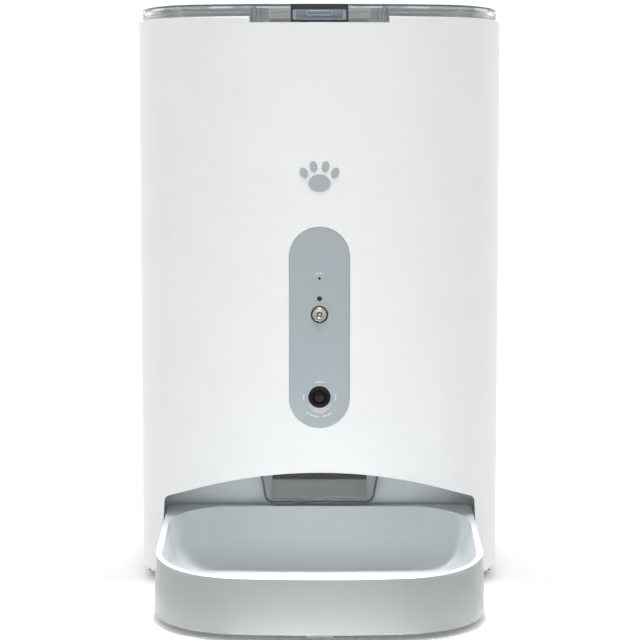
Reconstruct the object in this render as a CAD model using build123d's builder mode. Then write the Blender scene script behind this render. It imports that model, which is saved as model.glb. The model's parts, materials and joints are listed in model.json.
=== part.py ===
from build123d import *
import math
import os

os.makedirs("parts", exist_ok=True)

# Automatic pet feeder, in millimetres. +Z is up, the front faces -Y, and the origin is on the
# table under the middle of the whole object.

# ---------------------------------------------------------------- overall sizes
width = 240.0  # body, side to side
height = 380.0  # table to lid top
body_depth = 190.0  # body, front to back
bowl_reach = 120.0  # bowl front ahead of the body front

# ---------------------------------------------------------------- clearances
seat_gap = 0.2  # between fixed pieces that seat on each other
move_gap = 0.3  # between faces that slide past each other
run_gap = 0.05  # radial, shafts and pins in their bores
grip_gap = 0.02  # radial, pieces fixed on a shaft

# ---------------------------------------------------------------- body
wall = 2.5
front_bow = 15.0  # how far the front face bulges over its width
front_corner_r = 50.0
rear_corner_r = 30.0
shell_lift = 6.0  # table to the shell's lower edge
shell_edge_r = 4.0
rim_edge_r = 0.8
lid_stack = 8.0  # shell rim to lid top

# ---------------------------------------------------------------- bowl, its bay and the arch
bowl_side_room = 16.0  # body side to bowl side
bowl_lift = 3.5
bowl_wall = 2.5
bowl_front_z = 36.6  # rim height at the front
bowl_slope = 0.0806  # rim rise per millimetre towards the back
bowl_bow = 10.0
bowl_front_r = 58.0
bowl_rear_r = 8.0
bowl_toe_in = 3.0
bowl_taper = 2.2  # degrees
bowl_rim = 4.0  # width of the rim around the basin
basin_taper = 12.0
basin_floor_z = 12.0
basin_round = 20.0
basin_rear_r = 42.0
basin_rear_land = 6.0  # rim behind the basin
bay_depth = 45.0  # body front to the bay's back wall
bay_side_gap = 2.5  # bowl to bay wall
bay_top_z = 84.5
arch_gap = 1.3  # bowl to arch leg
arch_lean = 3.0  # how far each leg leans inwards
arch_shoulder_z = 59.8
arch_top_z = 78.7
arch_corner_r = 5.0

# ---------------------------------------------------------------- control panel
panel_half = 19.5
panel_low_z = 108.2
panel_high_z = 238.1
panel_flange = 3.0
mic_z = 205.0
led_z = 192.0
button_z = 181.8
lens_z = 128.2
lens_hole_z = 126.7
lens_hole_w = 15.2
lens_hole_h = 17.9
mic_hole_r = 0.85
led_r = 1.6
bezel_r = 5.5
button_r = 4.65
lens_r = 7.15
badge_rise = 32.0  # panel top to badge middle
badge_pad = (7.0, 5.6)  # half axes of the paw pad
badge_toe = (2.5, 3.6)

# ---------------------------------------------------------------- lid
lid_inset = 2.5  # lid edge inside the body side
lid_gap = 1.4  # shell rim to lid underside
lid_roof = 2.4
lid_skirt = 1.6
skirt_depth = 10.0
skirt_gap = 1.4  # hopper wall to lid skirt
seal_gap = 0.6  # hopper wall to seal
seal_height = 3.0
lip_half = 43.5  # front lip of the lid, half its width
lip_drop = 3.6  # below the shell rim
latch_half = 18.3
latch_frame_wall = 1.3
press_side_gap = 1.0  # latch frame to its push part
hinge_y_in = 4.6  # hinge axis ahead of the body's back
hinge_drop = 3.6  # hinge axis below the lid top
knuckle_r = 3.4
knuckle_len = 15.0
knuckle_first_x = 40.0
hinge_pin_r = 1.5

# ---------------------------------------------------------------- hopper and feed
hopper_wall = 2.0
hopper_straight = 30.0
chamber_room = 6.5  # chamber to the shell's back wall
chute_lead = 11.5  # bay wall to chamber
chamber_wall = 3.0
deck_z = 93.0  # underside of the feed deck
deck_plate = 2.0
chamber_height = 35.0
rotor_gap = 1.0
rotor_vanes = 6
vane_plate = 3.0
rotor_hub_r = 12.0
outlet_half = 29.0
outlet_in_r = 27.0
baffle_plate = 2.0
shaft_r = 4.0
agitator_reach = 45.0
chute_half = 32.0
chute_wall = 2.0
chute_low_z = 53.0
chute_high_z = 80.0
chute_lip = (13.4, 16.0)  # run and rise of the steep part at the mouth
flap_gap_y = 4.7  # bay wall to flap axis
flap_plate = 1.6
flap_axis_z = 81.0
flap_top_half = 42.0
flap_low_half = 36.5
flap_low_z = 50.8
flap_corner_r = 7.0
flap_barrel_r = 2.0
flap_pin_r = 1.0

# ---------------------------------------------------------------- drive
module = 1.0
pressure = math.radians(25)
addendum = 0.9
dedendum = 1.15
backlash = 0.2
output_teeth = 40
wheel_teeth = 36
pinion_teeth = 12
wheel_angle = 30.0  # direction from the output gear to the compound gear
pinion_angle = 120.0  # direction from the compound gear to the motor
gearbox_low_z = 62.0
gearbox_wall = 2.0
gearbox_split_z = 77.0
low_gear_z = (66.0, 73.0)
high_gear_z = (74.5, 82.5)
encoder_z = 85.0
motor_r = 12.0
motor_length = 30.8
motor_shaft_r = 1.0
gear_pin_r = 1.5

# ---------------------------------------------------------------- base, power and electronics
base_low_z = 3.0
base_plate_t = 6.0
base_inset = 3.5
post_r = 4.0
deck_side_room = 32.0
cell_r = 17.1
cell_length = 61.5
cell_pitch = 34.4
battery_wall = 2.0
battery_front_gap = 5.5
contact_room = 3.5
door_t = 2.0
door_tongue = 2.5
foot_r = 8.0
foot_side_room = 35.0
service_side_room = 42.0
service_low_z = 16.0
service_high_z = 84.0
service_ledge = 8.0
speaker_r = 20.0
speaker_at = (45.0, 50.0)
inlet_at = (-50.0, 40.0)
inlet_bore_r = 3.2
board_t = 1.6
main_board_side_room = 18.0
screw_r = 1.25
screw_head_r = 2.6
screw_head_t = 1.6
screw_seat = 0.7  # depth of the rear screws' counterbores
wire_r = 0.9
wire_bend_r = 9.0

# ---------------------------------------------------------------- worked out from the above
half = width / 2
rear_y = (body_depth + bowl_reach) / 2
front_y = rear_y - body_depth
bowl_front_y = front_y - bowl_reach
shell_top = height - lid_stack
panel_mid_z = (panel_low_z + panel_high_z) / 2
badge_z = panel_high_z + badge_rise
bowl_half = half - bowl_side_room
bay_half = bowl_half + bay_side_gap
bay_back_y = front_y + bay_depth
bay_rear_y = bay_back_y + wall
hopper_outer_inset = wall + seat_gap
hopper_inset = hopper_outer_inset + hopper_wall
hopper_top = shell_top - seat_gap
hopper_knee = shell_top - hopper_straight
lid_low = shell_top + lid_gap
skirt_inset = hopper_inset + skirt_gap
hinge_y = rear_y - hinge_y_in
hinge_z = height - hinge_drop
chamber_rear = rear_y - wall - chamber_room
chamber_front = bay_rear_y + chute_lead
chamber_r = (chamber_rear - chamber_front) / 2
rotor_y = (chamber_rear + chamber_front) / 2
deck_top = deck_z + deck_plate
chamber_top = deck_top + chamber_height
deck_half = half - deck_side_room
deck_front = bay_rear_y + 1.5
deck_rear = rear_y - wall - 3
post_x = deck_half - 8
post_ys = (deck_front + 8, deck_rear - 9)
bore_r = chamber_r - chamber_wall
rotor_r = bore_r - rotor_gap
outlet_out_r = bore_r - 2
baffle_low = chamber_top - baffle_plate
rotor_low = deck_top + 0.5
rotor_high = baffle_low - 0.5
base_top = base_low_z + base_plate_t
mesh_high = module * (output_teeth + pinion_teeth) / 2
mesh_low = module * (wheel_teeth + pinion_teeth) / 2
wheel_x = mesh_high * math.cos(math.radians(wheel_angle))
wheel_y = rotor_y + mesh_high * math.sin(math.radians(wheel_angle))
motor_x = wheel_x + mesh_low * math.cos(math.radians(pinion_angle))
motor_y = wheel_y + mesh_low * math.sin(math.radians(pinion_angle))
gearbox_x = (-27.0, 47.0)
gearbox_y = (rotor_y - 24.0, rotor_y + 44.0)
gearbox_top_z = deck_z - 0.1
battery_y = bay_rear_y + battery_front_gap
battery_half = 1.5 * cell_pitch + battery_wall + 0.7
battery_length = cell_length + 2 * (contact_room + battery_wall) - 2.5
battery_top = base_top + 2 * cell_r + battery_wall + 2.0
cell_z = base_top + cell_r + 1.0


# ---------------------------------------------------------------- shared shapes
def plan(side, nose, back, bow, nose_r, back_r, level, inset=0.0, toe_in=0.0):
    """Plan outline with a bowed front, straight sides and back, and rounded corners."""
    bow_r = (side**2 + bow**2) / (2 * bow) - inset
    x_back = side - inset
    x_nose = x_back - toe_in
    y_nose = nose + inset
    y_side = y_nose + bow_r - math.sqrt(bow_r**2 - x_nose**2)
    y_back = back - inset
    with BuildSketch(Plane.XY.offset(level)) as outline:
        with BuildLine():
            ThreePointArc((-x_nose, y_side), (0, y_nose), (x_nose, y_side))
            Polyline((x_nose, y_side), (x_back, y_back), (-x_back, y_back), (-x_nose, y_side))
        make_face()
        corners = outline.vertices().sort_by(Axis.Y)
        fillet(corners[0:2], nose_r - inset)
        corners = outline.vertices().sort_by(Axis.Y)
        fillet(corners[-2:], back_r - inset)
    return outline.sketch


def body_plan(level, inset=0.0):
    """The body's outline, `inset` millimetres inside its outer surface."""
    return plan(half, front_y, rear_y, front_bow, front_corner_r, rear_corner_r, level, inset)


def round_plan(radius, level):
    """A near-circle about the rotor axis, with the same edges as the body's outline."""
    return plan(radius, rotor_y - radius, rotor_y + radius, 0.6, radius - 2, radius - 2, level)


def facing(y):
    """Upright plane at depth y: local x is +X, local y is +Z, and it faces forwards."""
    return Plane(origin=(0, y, 0), x_dir=(1, 0, 0), z_dir=(0, -1, 0))


def block(low, high, mode=Mode.ADD):
    """A box between two opposite corners."""
    with Locations(low):
        Box(*[b - a for a, b in zip(low, high)], align=(Align.MIN,) * 3, mode=mode)


def rod(start, direction, radius, length, mode=Mode.ADD):
    """A round bar from `start` along `direction`."""
    with Locations(Plane(origin=start, z_dir=direction).location):
        Cylinder(radius, length, align=(Align.CENTER, Align.CENTER, Align.MIN), mode=mode)


def tooth_half_angle(teeth, radius):
    """Half the angle that an involute tooth fills at `radius`."""
    pitch_r = module * teeth / 2
    roll = math.acos(min(1.0, pitch_r * math.cos(pressure) / radius))
    involute = math.tan(pressure) - pressure - math.tan(roll) + roll
    return math.pi / (2 * teeth) - backlash / (2 * pitch_r) + involute


def gear(teeth, centre, low, high, phase):
    """Adds a spur gear with a tooth that points in the direction `phase`, in degrees."""
    pitch_r = module * teeth / 2
    base_r = pitch_r * math.cos(pressure)
    root_r = pitch_r - dedendum * module
    tip_r = pitch_r + addendum * module
    rise = [root_r, max(base_r, root_r + 0.05), pitch_r, (pitch_r + tip_r) / 2, tip_r]
    points = []
    for number in range(teeth):
        middle = math.radians(phase) + 2 * math.pi * number / teeth
        flank = [(radius, -tooth_half_angle(teeth, radius)) for radius in rise]
        flank += [(radius, tooth_half_angle(teeth, radius)) for radius in reversed(rise)]
        for radius, angle in flank:
            points.append((radius * math.cos(middle + angle), radius * math.sin(middle + angle)))
    with BuildSketch(Plane(origin=(centre[0], centre[1], low))) as outline:
        with BuildLine():
            Polyline(*points, close=True)
        make_face()
    extrude(outline.sketch, amount=high - low)


def coil(start, direction, radius, wire_r, length, turns):
    """Adds a coil spring that starts at `start` and runs along `direction`."""
    with BuildLine() as path:
        Helix(pitch=length / turns, height=length, radius=radius, center=start, direction=direction)
    with BuildSketch(Plane(origin=path.line @ 0, z_dir=path.line % 0)) as wire:
        Circle(wire_r)
    sweep(wire.sketch, path=path.line)


# ---------------------------------------------------------------- outer shell
def knuckle_spans(moving):
    """The x spans of the hinge knuckles on the positive side: the lid's, or the shell's."""
    first = knuckle_first_x
    if moving:
        return [(first + knuckle_len + move_gap, first + 2 * knuckle_len - move_gap)]
    return [(first, first + knuckle_len), (first + 2 * knuckle_len, first + 3 * knuckle_len)]


def paw(level_y, grow, depth, mode):
    """Five rounded marks: a pad and four toes, cut into or raised from the front."""
    with BuildSketch(facing(level_y)) as marks:
        with Locations((0, badge_z - 4)):
            Ellipse(badge_pad[0] + grow, badge_pad[1] + grow)
        for x, z, tilt in ((-10, 2.5, 22), (-3.8, 6.5, 8), (3.8, 6.5, -8), (10, 2.5, -22)):
            with Locations(Location((x, badge_z + z, 0), (0, 0, tilt))):
                Ellipse(badge_toe[0] + grow, badge_toe[1] + grow)
    extrude(marks.sketch, amount=depth, mode=mode)


service_half = half - service_side_room
service_screws = [
    (x, z)
    for x in (-service_half + 4, service_half - 4)
    for z in (service_low_z + 4, service_high_z - 4)
]

with BuildPart() as outer_shell:
    extrude(body_plan(shell_lift), amount=shell_top - shell_lift)
    fillet(outer_shell.edges().group_by(Axis.Z)[0], shell_edge_r)
    fillet(outer_shell.edges().group_by(Axis.Z)[-1], rim_edge_r)
    extrude(body_plan(shell_lift - 1, wall), amount=height, mode=Mode.SUBTRACT)
    # Arch over the bowl.
    with BuildSketch(facing(bay_back_y - 1)) as arch:
        leg = bowl_half + arch_gap
        with BuildLine():
            Polyline(
                (-leg + arch_lean, arch_shoulder_z), (-leg, -1),
                (leg, -1), (leg - arch_lean, arch_shoulder_z),
            )
            ThreePointArc(
                (leg - arch_lean, arch_shoulder_z), (0, arch_top_z), (-leg + arch_lean, arch_shoulder_z)
            )
        make_face()
        shoulders = arch.vertices().sort_by(Axis.Y)[-2:]
        fillet(shoulders, arch_corner_r)
    extrude(amount=bay_depth + 5, mode=Mode.SUBTRACT)
    # Seat of the control panel.
    with BuildSketch(facing(front_y - 1)) as panel_seat:
        with Locations((0, panel_mid_z)):
            SlotOverall(
                panel_high_z - panel_low_z + 2 * seat_gap, 2 * (panel_half + seat_gap), rotation=90
            )
    extrude(amount=-10, mode=Mode.SUBTRACT)
    paw(front_y - 1, 0.05, -1.6, Mode.SUBTRACT)
    # Notch for the lid's front lip.
    lip_cut = lip_half + 1
    lip_low = shell_top - lip_drop
    block((-lip_cut, front_y - 1, lip_low - 0.4), (lip_cut, front_y + 12, height), Mode.SUBTRACT)
    # Opening, ledge and screw bosses of the rear service panel.
    inner = service_half - service_ledge
    for x, z in service_screws:
        rod((x, rear_y - wall + 0.1, z), (0, -1, 0), 3.4, 6.0)
    block(
        (-inner, rear_y - 5, service_low_z + service_ledge),
        (inner, rear_y + 1, service_high_z - service_ledge),
        Mode.SUBTRACT,
    )
    block(
        (-service_half, rear_y - 1.4, service_low_z),
        (service_half, rear_y + 1, service_high_z),
        Mode.SUBTRACT,
    )
    for x, z in service_screws:
        rod((x, rear_y, z), (0, -1, 0), screw_r + 0.02, 10.0, Mode.SUBTRACT)
    # Hinge knuckles on the rear rim.
    for side in (-1, 1):
        for first, last in knuckle_spans(moving=False):
            x = min(side * first, side * last)
            rod((x, hinge_y, hinge_z), (1, 0, 0), knuckle_r, last - first)
            block((x, hinge_y - 2.2, shell_top - 0.1), (x + last - first, rear_y - 0.8, hinge_z))
            rod(
                (x - 1, hinge_y, hinge_z), (1, 0, 0), hinge_pin_r + run_gap, last - first + 2, Mode.SUBTRACT,
            )
outer_shell.part.label = "outer_shell"
export_step(outer_shell.part, "parts/outer_shell.step")

with BuildPart() as paw_badge:
    paw(front_y + 0.55, 0.0, 0.75, Mode.ADD)
paw_badge.part.label = "paw_badge"
export_step(paw_badge.part, "parts/paw_badge.step")

with BuildPart() as hinge_pins:
    for side in (-1, 1):
        x = min(side * knuckle_first_x, side * (knuckle_first_x + 3 * knuckle_len))
        rod((x, hinge_y, hinge_z), (1, 0, 0), hinge_pin_r, 3 * knuckle_len)
hinge_pins.part.label = "hinge_pins"
export_step(hinge_pins.part, "parts/hinge_pins.step")

# ---------------------------------------------------------------- hopper
hopper_low = chamber_top + seat_gap
with BuildPart() as hopper:
    extrude(body_plan(hopper_knee, hopper_outer_inset), amount=hopper_top - hopper_knee)
    loft([round_plan(bore_r + hopper_wall, hopper_low), body_plan(hopper_knee, hopper_outer_inset)])
    extrude(body_plan(hopper_knee, hopper_inset), amount=hopper_straight + 5, mode=Mode.SUBTRACT)
    loft([round_plan(bore_r, hopper_low), body_plan(hopper_knee, hopper_inset)], mode=Mode.SUBTRACT)
    block((-lip_cut, front_y - 1, lip_low - 4.5), (lip_cut, front_y + 12, height), Mode.SUBTRACT)
hopper.part.label = "hopper"
export_step(hopper.part, "parts/hopper.step")

# ---------------------------------------------------------------- lid
axis_cut = (knuckle_first_x - 0.5, knuckle_first_x + 3 * knuckle_len + 0.5)
with BuildPart() as lid:
    extrude(body_plan(lid_low, lid_inset + 0.7), amount=2.8)
    extrude(body_plan(lid_low + 2.8, lid_inset), amount=height - lid_low - 2.8)
    fillet(lid.edges().group_by(Axis.Z)[-1], 1.2)
    extrude(body_plan(lid_low, skirt_inset), amount=-skirt_depth)
    roof_low = height - lid_roof
    extrude(
        body_plan(lid_low - skirt_depth, skirt_inset + lid_skirt),
        amount=roof_low - lid_low + skirt_depth,
        mode=Mode.SUBTRACT,
    )
    # Front lip, which drops into the notch of the shell.
    with BuildSketch(Plane.XY.offset(lip_low)) as lip_face:
        add(body_plan(lip_low, 0.4))
        add(body_plan(lip_low, wall - 0.1), mode=Mode.SUBTRACT)
        with Locations((0, front_y)):
            Rectangle(2 * lip_half, 24, mode=Mode.INTERSECT)
    extrude(lip_face.sketch, amount=roof_low - lip_low)
    with BuildSketch(Plane.XY.offset(lid_low)) as web_face:
        add(body_plan(lid_low, 0.4))
        add(body_plan(lid_low, skirt_inset), mode=Mode.SUBTRACT)
        with Locations((0, front_y)):
            Rectangle(2 * lip_half, 24, mode=Mode.INTERSECT)
    extrude(web_face.sketch, amount=roof_low + 0.8 - lid_low)
    latch_low = lip_low
    latch_high = height - 0.4
    block(
        (-latch_half - 0.1, front_y - 1, lip_low - 1),
        (latch_half + 0.1, front_y + skirt_inset, height + 1),
        Mode.SUBTRACT,
    )
    # The rear edge ends on the hinge axis and leaves room for the shell's knuckles.
    block((-half, hinge_y, lid_low - 1), (half, rear_y + 1, height + 1), Mode.SUBTRACT)
    for side in (-1, 1):
        x_low = min(side * axis_cut[0], side * axis_cut[1])
        block(
            (x_low, hinge_y - knuckle_r - 0.5, shell_top - 2.8),
            (x_low + axis_cut[1] - axis_cut[0], rear_y, height + 1),
            Mode.SUBTRACT,
        )
        for first, last in knuckle_spans(moving=True):
            x = min(side * first, side * last)
            rod((x, hinge_y, hinge_z), (1, 0, 0), knuckle_r, last - first)
            block((x, hinge_y - knuckle_r - 1.5, hinge_z - 1), (x + last - first, hinge_y, hinge_z + 2.2))
            rod(
                (x - 1, hinge_y, hinge_z), (1, 0, 0), hinge_pin_r + run_gap, last - first + 2, Mode.SUBTRACT,
            )
lid.part.label = "lid"
export_step(lid.part, "parts/lid.step")

seal_high = lid_low - 4.0
with BuildPart() as lid_seal:
    extrude(body_plan(seal_high, hopper_inset + seal_gap), amount=-seal_height)
    extrude(body_plan(seal_high, skirt_inset), amount=-seal_height, mode=Mode.SUBTRACT)
    block((-lip_cut, front_y - 1, 0), (lip_cut, front_y + 12, height), Mode.SUBTRACT)
lid_seal.part.label = "lid_seal"
export_step(lid_seal.part, "parts/lid_seal.step")

box_half = 35.0
box_y = (rotor_y - 30, rotor_y + 30)
with BuildPart() as desiccant_box:
    with BuildSketch(Plane.XY.offset(roof_low)):
        with Locations((0, rotor_y)):
            RectangleRounded(2 * box_half, box_y[1] - box_y[0], 8)
    extrude(amount=-16)
    with BuildSketch(Plane.XY.offset(roof_low - 16)):
        with Locations((0, rotor_y)):
            RectangleRounded(2 * box_half - 3, box_y[1] - box_y[0] - 3, 6.5)
    extrude(amount=14.5, mode=Mode.SUBTRACT)
desiccant_box.part.label = "desiccant_box"
export_step(desiccant_box.part, "parts/desiccant_box.step")

with BuildPart() as desiccant_cap:
    with BuildSketch(Plane.XY.offset(roof_low - 16)):
        with Locations((0, rotor_y)):
            RectangleRounded(2 * box_half, box_y[1] - box_y[0], 8)
            with GridLocations(8, 0, 7, 1):
                SlotOverall(40, 3, rotation=90, mode=Mode.SUBTRACT)
    extrude(amount=-2)
desiccant_cap.part.label = "desiccant_cap"
export_step(desiccant_cap.part, "parts/desiccant_cap.step")

# ---------------------------------------------------------------- latch
pocket_half = latch_half - latch_frame_wall
pocket_z = (lip_low + 1.2, lid_low + 2.8)
with BuildPart() as latch_frame:
    extrude(body_plan(latch_low, 0.15), amount=lid_low - latch_low)
    extrude(body_plan(latch_low, wall - 0.1), amount=lid_low - latch_low, mode=Mode.SUBTRACT)
    extrude(body_plan(lid_low, 0.15), amount=latch_high - lid_low)
    extrude(body_plan(lid_low, skirt_inset - 0.1), amount=height, mode=Mode.SUBTRACT)
    back = front_y + skirt_inset - 0.1
    block((-latch_half, front_y - 1, latch_low - 1), (latch_half, back, height), Mode.INTERSECT)
    block(
        (-pocket_half, front_y - 1, pocket_z[0]), (pocket_half, front_y + 20, pocket_z[1]), Mode.SUBTRACT
    )
latch_frame.part.label = "latch_frame"
export_step(latch_frame.part, "parts/latch_frame.step")

press_gap = 0.15
press_back = front_y + 1.9
hook_y = (front_y + wall + 0.4, front_y + wall + 1.4)
with BuildPart() as latch_button:
    block(
        (-pocket_half + press_side_gap, front_y + 0.2, pocket_z[0] + press_gap),
        (pocket_half - press_side_gap, press_back, pocket_z[1] - press_gap),
    )
    with BuildSketch(facing(front_y + 0.2)):
        with Locations((0, pocket_z[1] - 2.4)):
            SlotOverall(16.6, 2.4)
    extrude(amount=-0.5, mode=Mode.SUBTRACT)
    for x in (-12.0, 8.0):
        block((x, press_back - 0.1, pocket_z[0] + press_gap), (x + 4, hook_y[1], pocket_z[0] + 1.8))
        block((x, hook_y[0], lip_low - 3.0), (x + 4, hook_y[1], pocket_z[0] + 1.8))
latch_button.part.label = "latch_button"
export_step(latch_button.part, "parts/latch_button.step")

spring_end = front_y + skirt_inset - 0.05
with BuildPart() as latch_spring:
    spring_z = (pocket_z[0] + lid_low) / 2
    coil((0, press_back + 0.35, spring_z), (0, 1, 0), 1.3, 0.25, spring_end - press_back - 0.7, 4)
latch_spring.part.label = "latch_spring"
export_step(latch_spring.part, "parts/latch_spring.step")

# ---------------------------------------------------------------- control panel, camera and button
cap_front = front_y - 0.35
board_y = front_y + 13.0
def panel_layer(low, high, grow):
    """A stadium-shaped slice of the bowed front, between two depths under its surface."""
    with BuildPart() as layer:
        with BuildSketch(facing(front_y - 1)):
            with Locations((0, panel_mid_z)):
                SlotOverall(panel_high_z - panel_low_z + 2 * grow, 2 * (panel_half + grow), rotation=90)
        extrude(amount=-12)
        extrude(body_plan(0, low), amount=height, mode=Mode.INTERSECT)
        extrude(body_plan(0, high), amount=height, mode=Mode.SUBTRACT)
    return layer.part


with BuildPart() as control_panel:
    add(panel_layer(0.1, wall + 0.3, 0.0))
    add(panel_layer(wall + 0.1, wall + 1.6, panel_flange))
    with BuildSketch(facing(front_y - 1)):
        with Locations((0, mic_z)):
            Circle(mic_hole_r)
        with Locations((0, led_z)):
            Circle(led_r + run_gap)
        with Locations((0, button_z)):
            Circle(bezel_r + run_gap)
        with Locations((0, lens_hole_z)):
            SlotOverall(lens_hole_h, lens_hole_w, rotation=90)
    extrude(amount=-12, mode=Mode.SUBTRACT)
control_panel.part.label = "control_panel"
export_step(control_panel.part, "parts/control_panel.step")

with BuildPart() as status_light:
    rod((0, front_y + 0.15, led_z), (0, 1, 0), led_r, board_y - front_y - 0.25)
status_light.part.label = "status_light"
export_step(status_light.part, "parts/status_light.step")

with BuildPart() as microphone:
    rod((0, front_y + 6.0, mic_z), (0, 1, 0), 3.0, board_y - front_y - 6.1)
microphone.part.label = "microphone"
export_step(microphone.part, "parts/microphone.step")

with BuildPart() as button_bezel:
    rod((0, front_y - 0.25, button_z), (0, 1, 0), bezel_r, 5.0)
    rod((0, front_y - 1, button_z), (0, 1, 0), button_r + 0.12, 8.0, Mode.SUBTRACT)
button_bezel.part.label = "button_bezel"
export_step(button_bezel.part, "parts/button_bezel.step")

switch_y = board_y - 3.6
with BuildPart() as feed_button:
    rod((0, cap_front, button_z), (0, 1, 0), button_r, 3.2)
    fillet(feed_button.edges().group_by(Axis.Y)[0], 0.5)
    with BuildSketch(facing(cap_front)):
        with Locations((0, button_z)):
            Circle(2.2)
            Circle(1.8, mode=Mode.SUBTRACT)
    extrude(amount=-0.2, mode=Mode.SUBTRACT)
    rod((0, cap_front + 3.1, button_z), (0, 1, 0), 1.5, switch_y - 0.9 - cap_front - 3.1)
feed_button.part.label = "feed_button"
export_step(feed_button.part, "parts/feed_button.step")

with BuildPart() as button_switch:
    block((-3, switch_y + 0.6, button_z - 3), (3, board_y - 0.05, button_z + 3))
    rod((0, switch_y + 0.05, button_z), (0, 1, 0), 1.7, 0.6)
button_switch.part.label = "button_switch"
export_step(button_switch.part, "parts/button_switch.step")

with BuildPart() as button_board:
    block((-14, board_y, button_z - 14), (14, board_y + board_t, mic_z + 8))
button_board.part.label = "button_board"
export_step(button_board.part, "parts/button_board.step")

cup_floor_y = front_y + 2.0
with BuildPart() as camera_cup:
    with BuildSketch(facing(front_y + 0.6)):
        with Locations((0, lens_hole_z)):
            SlotOverall(lens_hole_h - 0.1, lens_hole_w - 0.1, rotation=90)
    extrude(amount=-4.6)
    with BuildSketch(facing(front_y)):
        with Locations((0, lens_hole_z)):
            SlotOverall(lens_hole_h - 1.5, lens_hole_w - 0.6, rotation=90)
    extrude(amount=front_y - cup_floor_y, mode=Mode.SUBTRACT)
    rod((0, front_y, lens_z), (0, 1, 0), lens_r + run_gap, 10.0, Mode.SUBTRACT)
camera_cup.part.label = "camera_cup"
export_step(camera_cup.part, "parts/camera_cup.step")

lens_front = front_y + 0.4
with BuildPart() as camera_barrel:
    rod((0, lens_front, lens_z), (0, 1, 0), lens_r, board_y - lens_front - 0.05)
    for radius, depth in ((5.9, 0.6), (4.6, 1.3), (3.4, 4.0)):
        rod((0, lens_front - 1, lens_z), (0, 1, 0), radius, depth + 1, Mode.SUBTRACT)
camera_barrel.part.label = "camera_barrel"
export_step(camera_barrel.part, "parts/camera_barrel.step")

with BuildPart() as camera_lens:
    rod((0, lens_front + 0.9, lens_z), (0, 1, 0), 3.35, 2.2)
    fillet(camera_lens.edges().group_by(Axis.Y)[0], 0.8)
camera_lens.part.label = "camera_lens"
export_step(camera_lens.part, "parts/camera_lens.step")

with BuildPart() as camera_board:
    block((-14, board_y, lens_z - 13), (14, board_y + board_t, lens_z + 13))
    block((-6, board_y + board_t, lens_z - 6), (6, board_y + board_t + 2, lens_z + 6))
camera_board.part.label = "camera_board"
export_step(camera_board.part, "parts/camera_board.step")

# ---------------------------------------------------------------- bowl bay, chute and flap
bay_plan_inset = wall + seat_gap
hinge_ear = (flap_top_half + 1.5, flap_top_half + 4.5)
flap_y = bay_back_y - flap_gap_y
with BuildPart() as bowl_bay:
    block((-bay_half - wall, front_y, bowl_lift), (bay_half + wall, bay_rear_y, bay_top_z + wall))
    block((-bay_half, front_y - 1, 0), (bay_half, bay_back_y, bay_top_z), Mode.SUBTRACT)
    extrude(body_plan(0, bay_plan_inset), amount=height, mode=Mode.INTERSECT)
    block(
        (-chute_half, bay_back_y - 1, chute_low_z), (chute_half, bay_rear_y + 1, chute_high_z), Mode.SUBTRACT,
    )
    for side in (-1, 1):
        x = min(side * hinge_ear[0], side * hinge_ear[1])
        block((x, flap_y - 2.2, flap_axis_z - 2.2), (x + 3, bay_back_y + 0.1, bay_top_z + 0.1))
        rod((x - 1, flap_y, flap_axis_z), (1, 0, 0), flap_pin_r + run_gap, 5.0, Mode.SUBTRACT)
bowl_bay.part.label = "bowl_bay"
export_step(bowl_bay.part, "parts/bowl_bay.step")

with BuildPart() as flap:
    with BuildSketch(facing(flap_y - flap_plate / 2)) as flap_face:
        with BuildLine():
            Polyline(
                (-flap_top_half, flap_axis_z), (-flap_low_half, flap_low_z),
                (flap_low_half, flap_low_z), (flap_top_half, flap_axis_z), close=True,
            )
        make_face()
        fillet(flap_face.vertices().group_by(Axis.Y)[0], flap_corner_r)
    extrude(amount=-flap_plate)
    # Stiffening rim around the free edge.
    with BuildSketch(facing(flap_y - flap_plate / 2)) as flap_rim:
        add(flap_face.sketch_local)
        offset(amount=-1.4, mode=Mode.SUBTRACT)
    extrude(flap_rim.sketch, amount=0.7)
    rod((-flap_top_half, flap_y, flap_axis_z), (1, 0, 0), flap_barrel_r, 2 * flap_top_half)
    rod((-half, flap_y, flap_axis_z), (1, 0, 0), flap_pin_r + grip_gap, width, Mode.SUBTRACT)
flap.part.label = "flap"
export_step(flap.part, "parts/flap.step")

with BuildPart() as flap_pin:
    rod((-hinge_ear[1], flap_y, flap_axis_z), (1, 0, 0), flap_pin_r, 2 * hinge_ear[1])
flap_pin.part.label = "flap_pin"
export_step(flap_pin.part, "parts/flap_pin.step")

chute_front = bay_rear_y + 0.1
chute_back = rotor_y - outlet_in_r + 0.5
chute_top = deck_z - 0.1
chute_mouth = rotor_y - outlet_out_r
with BuildPart() as chute:
    for sign, mode in ((1, Mode.ADD), (0, Mode.SUBTRACT)):
        grow = chute_wall * sign
        reach = 1.0 - sign
        with BuildSketch(Plane(origin=(0, 0, 0), x_dir=(0, 1, 0), z_dir=(1, 0, 0))) as side_view:
            with BuildLine():
                Polyline(
                    (chute_front - reach, chute_low_z - grow),
                    (chute_front + chute_lip[0] + grow / 2, chute_low_z + chute_lip[1] - grow),
                    (chute_back + grow, chute_top - 5 - grow),
                    (chute_back + grow, chute_top + reach),
                    (chute_mouth - grow, chute_top + reach),
                    (chute_mouth - grow, chute_top - 4 + grow),
                    (chute_front - reach, chute_high_z + grow),
                    close=True,
                )
            make_face()
        extrude(side_view.sketch, amount=chute_half + grow, both=True, mode=mode)
chute.part.label = "chute"
export_step(chute.part, "parts/chute.step")

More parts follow.
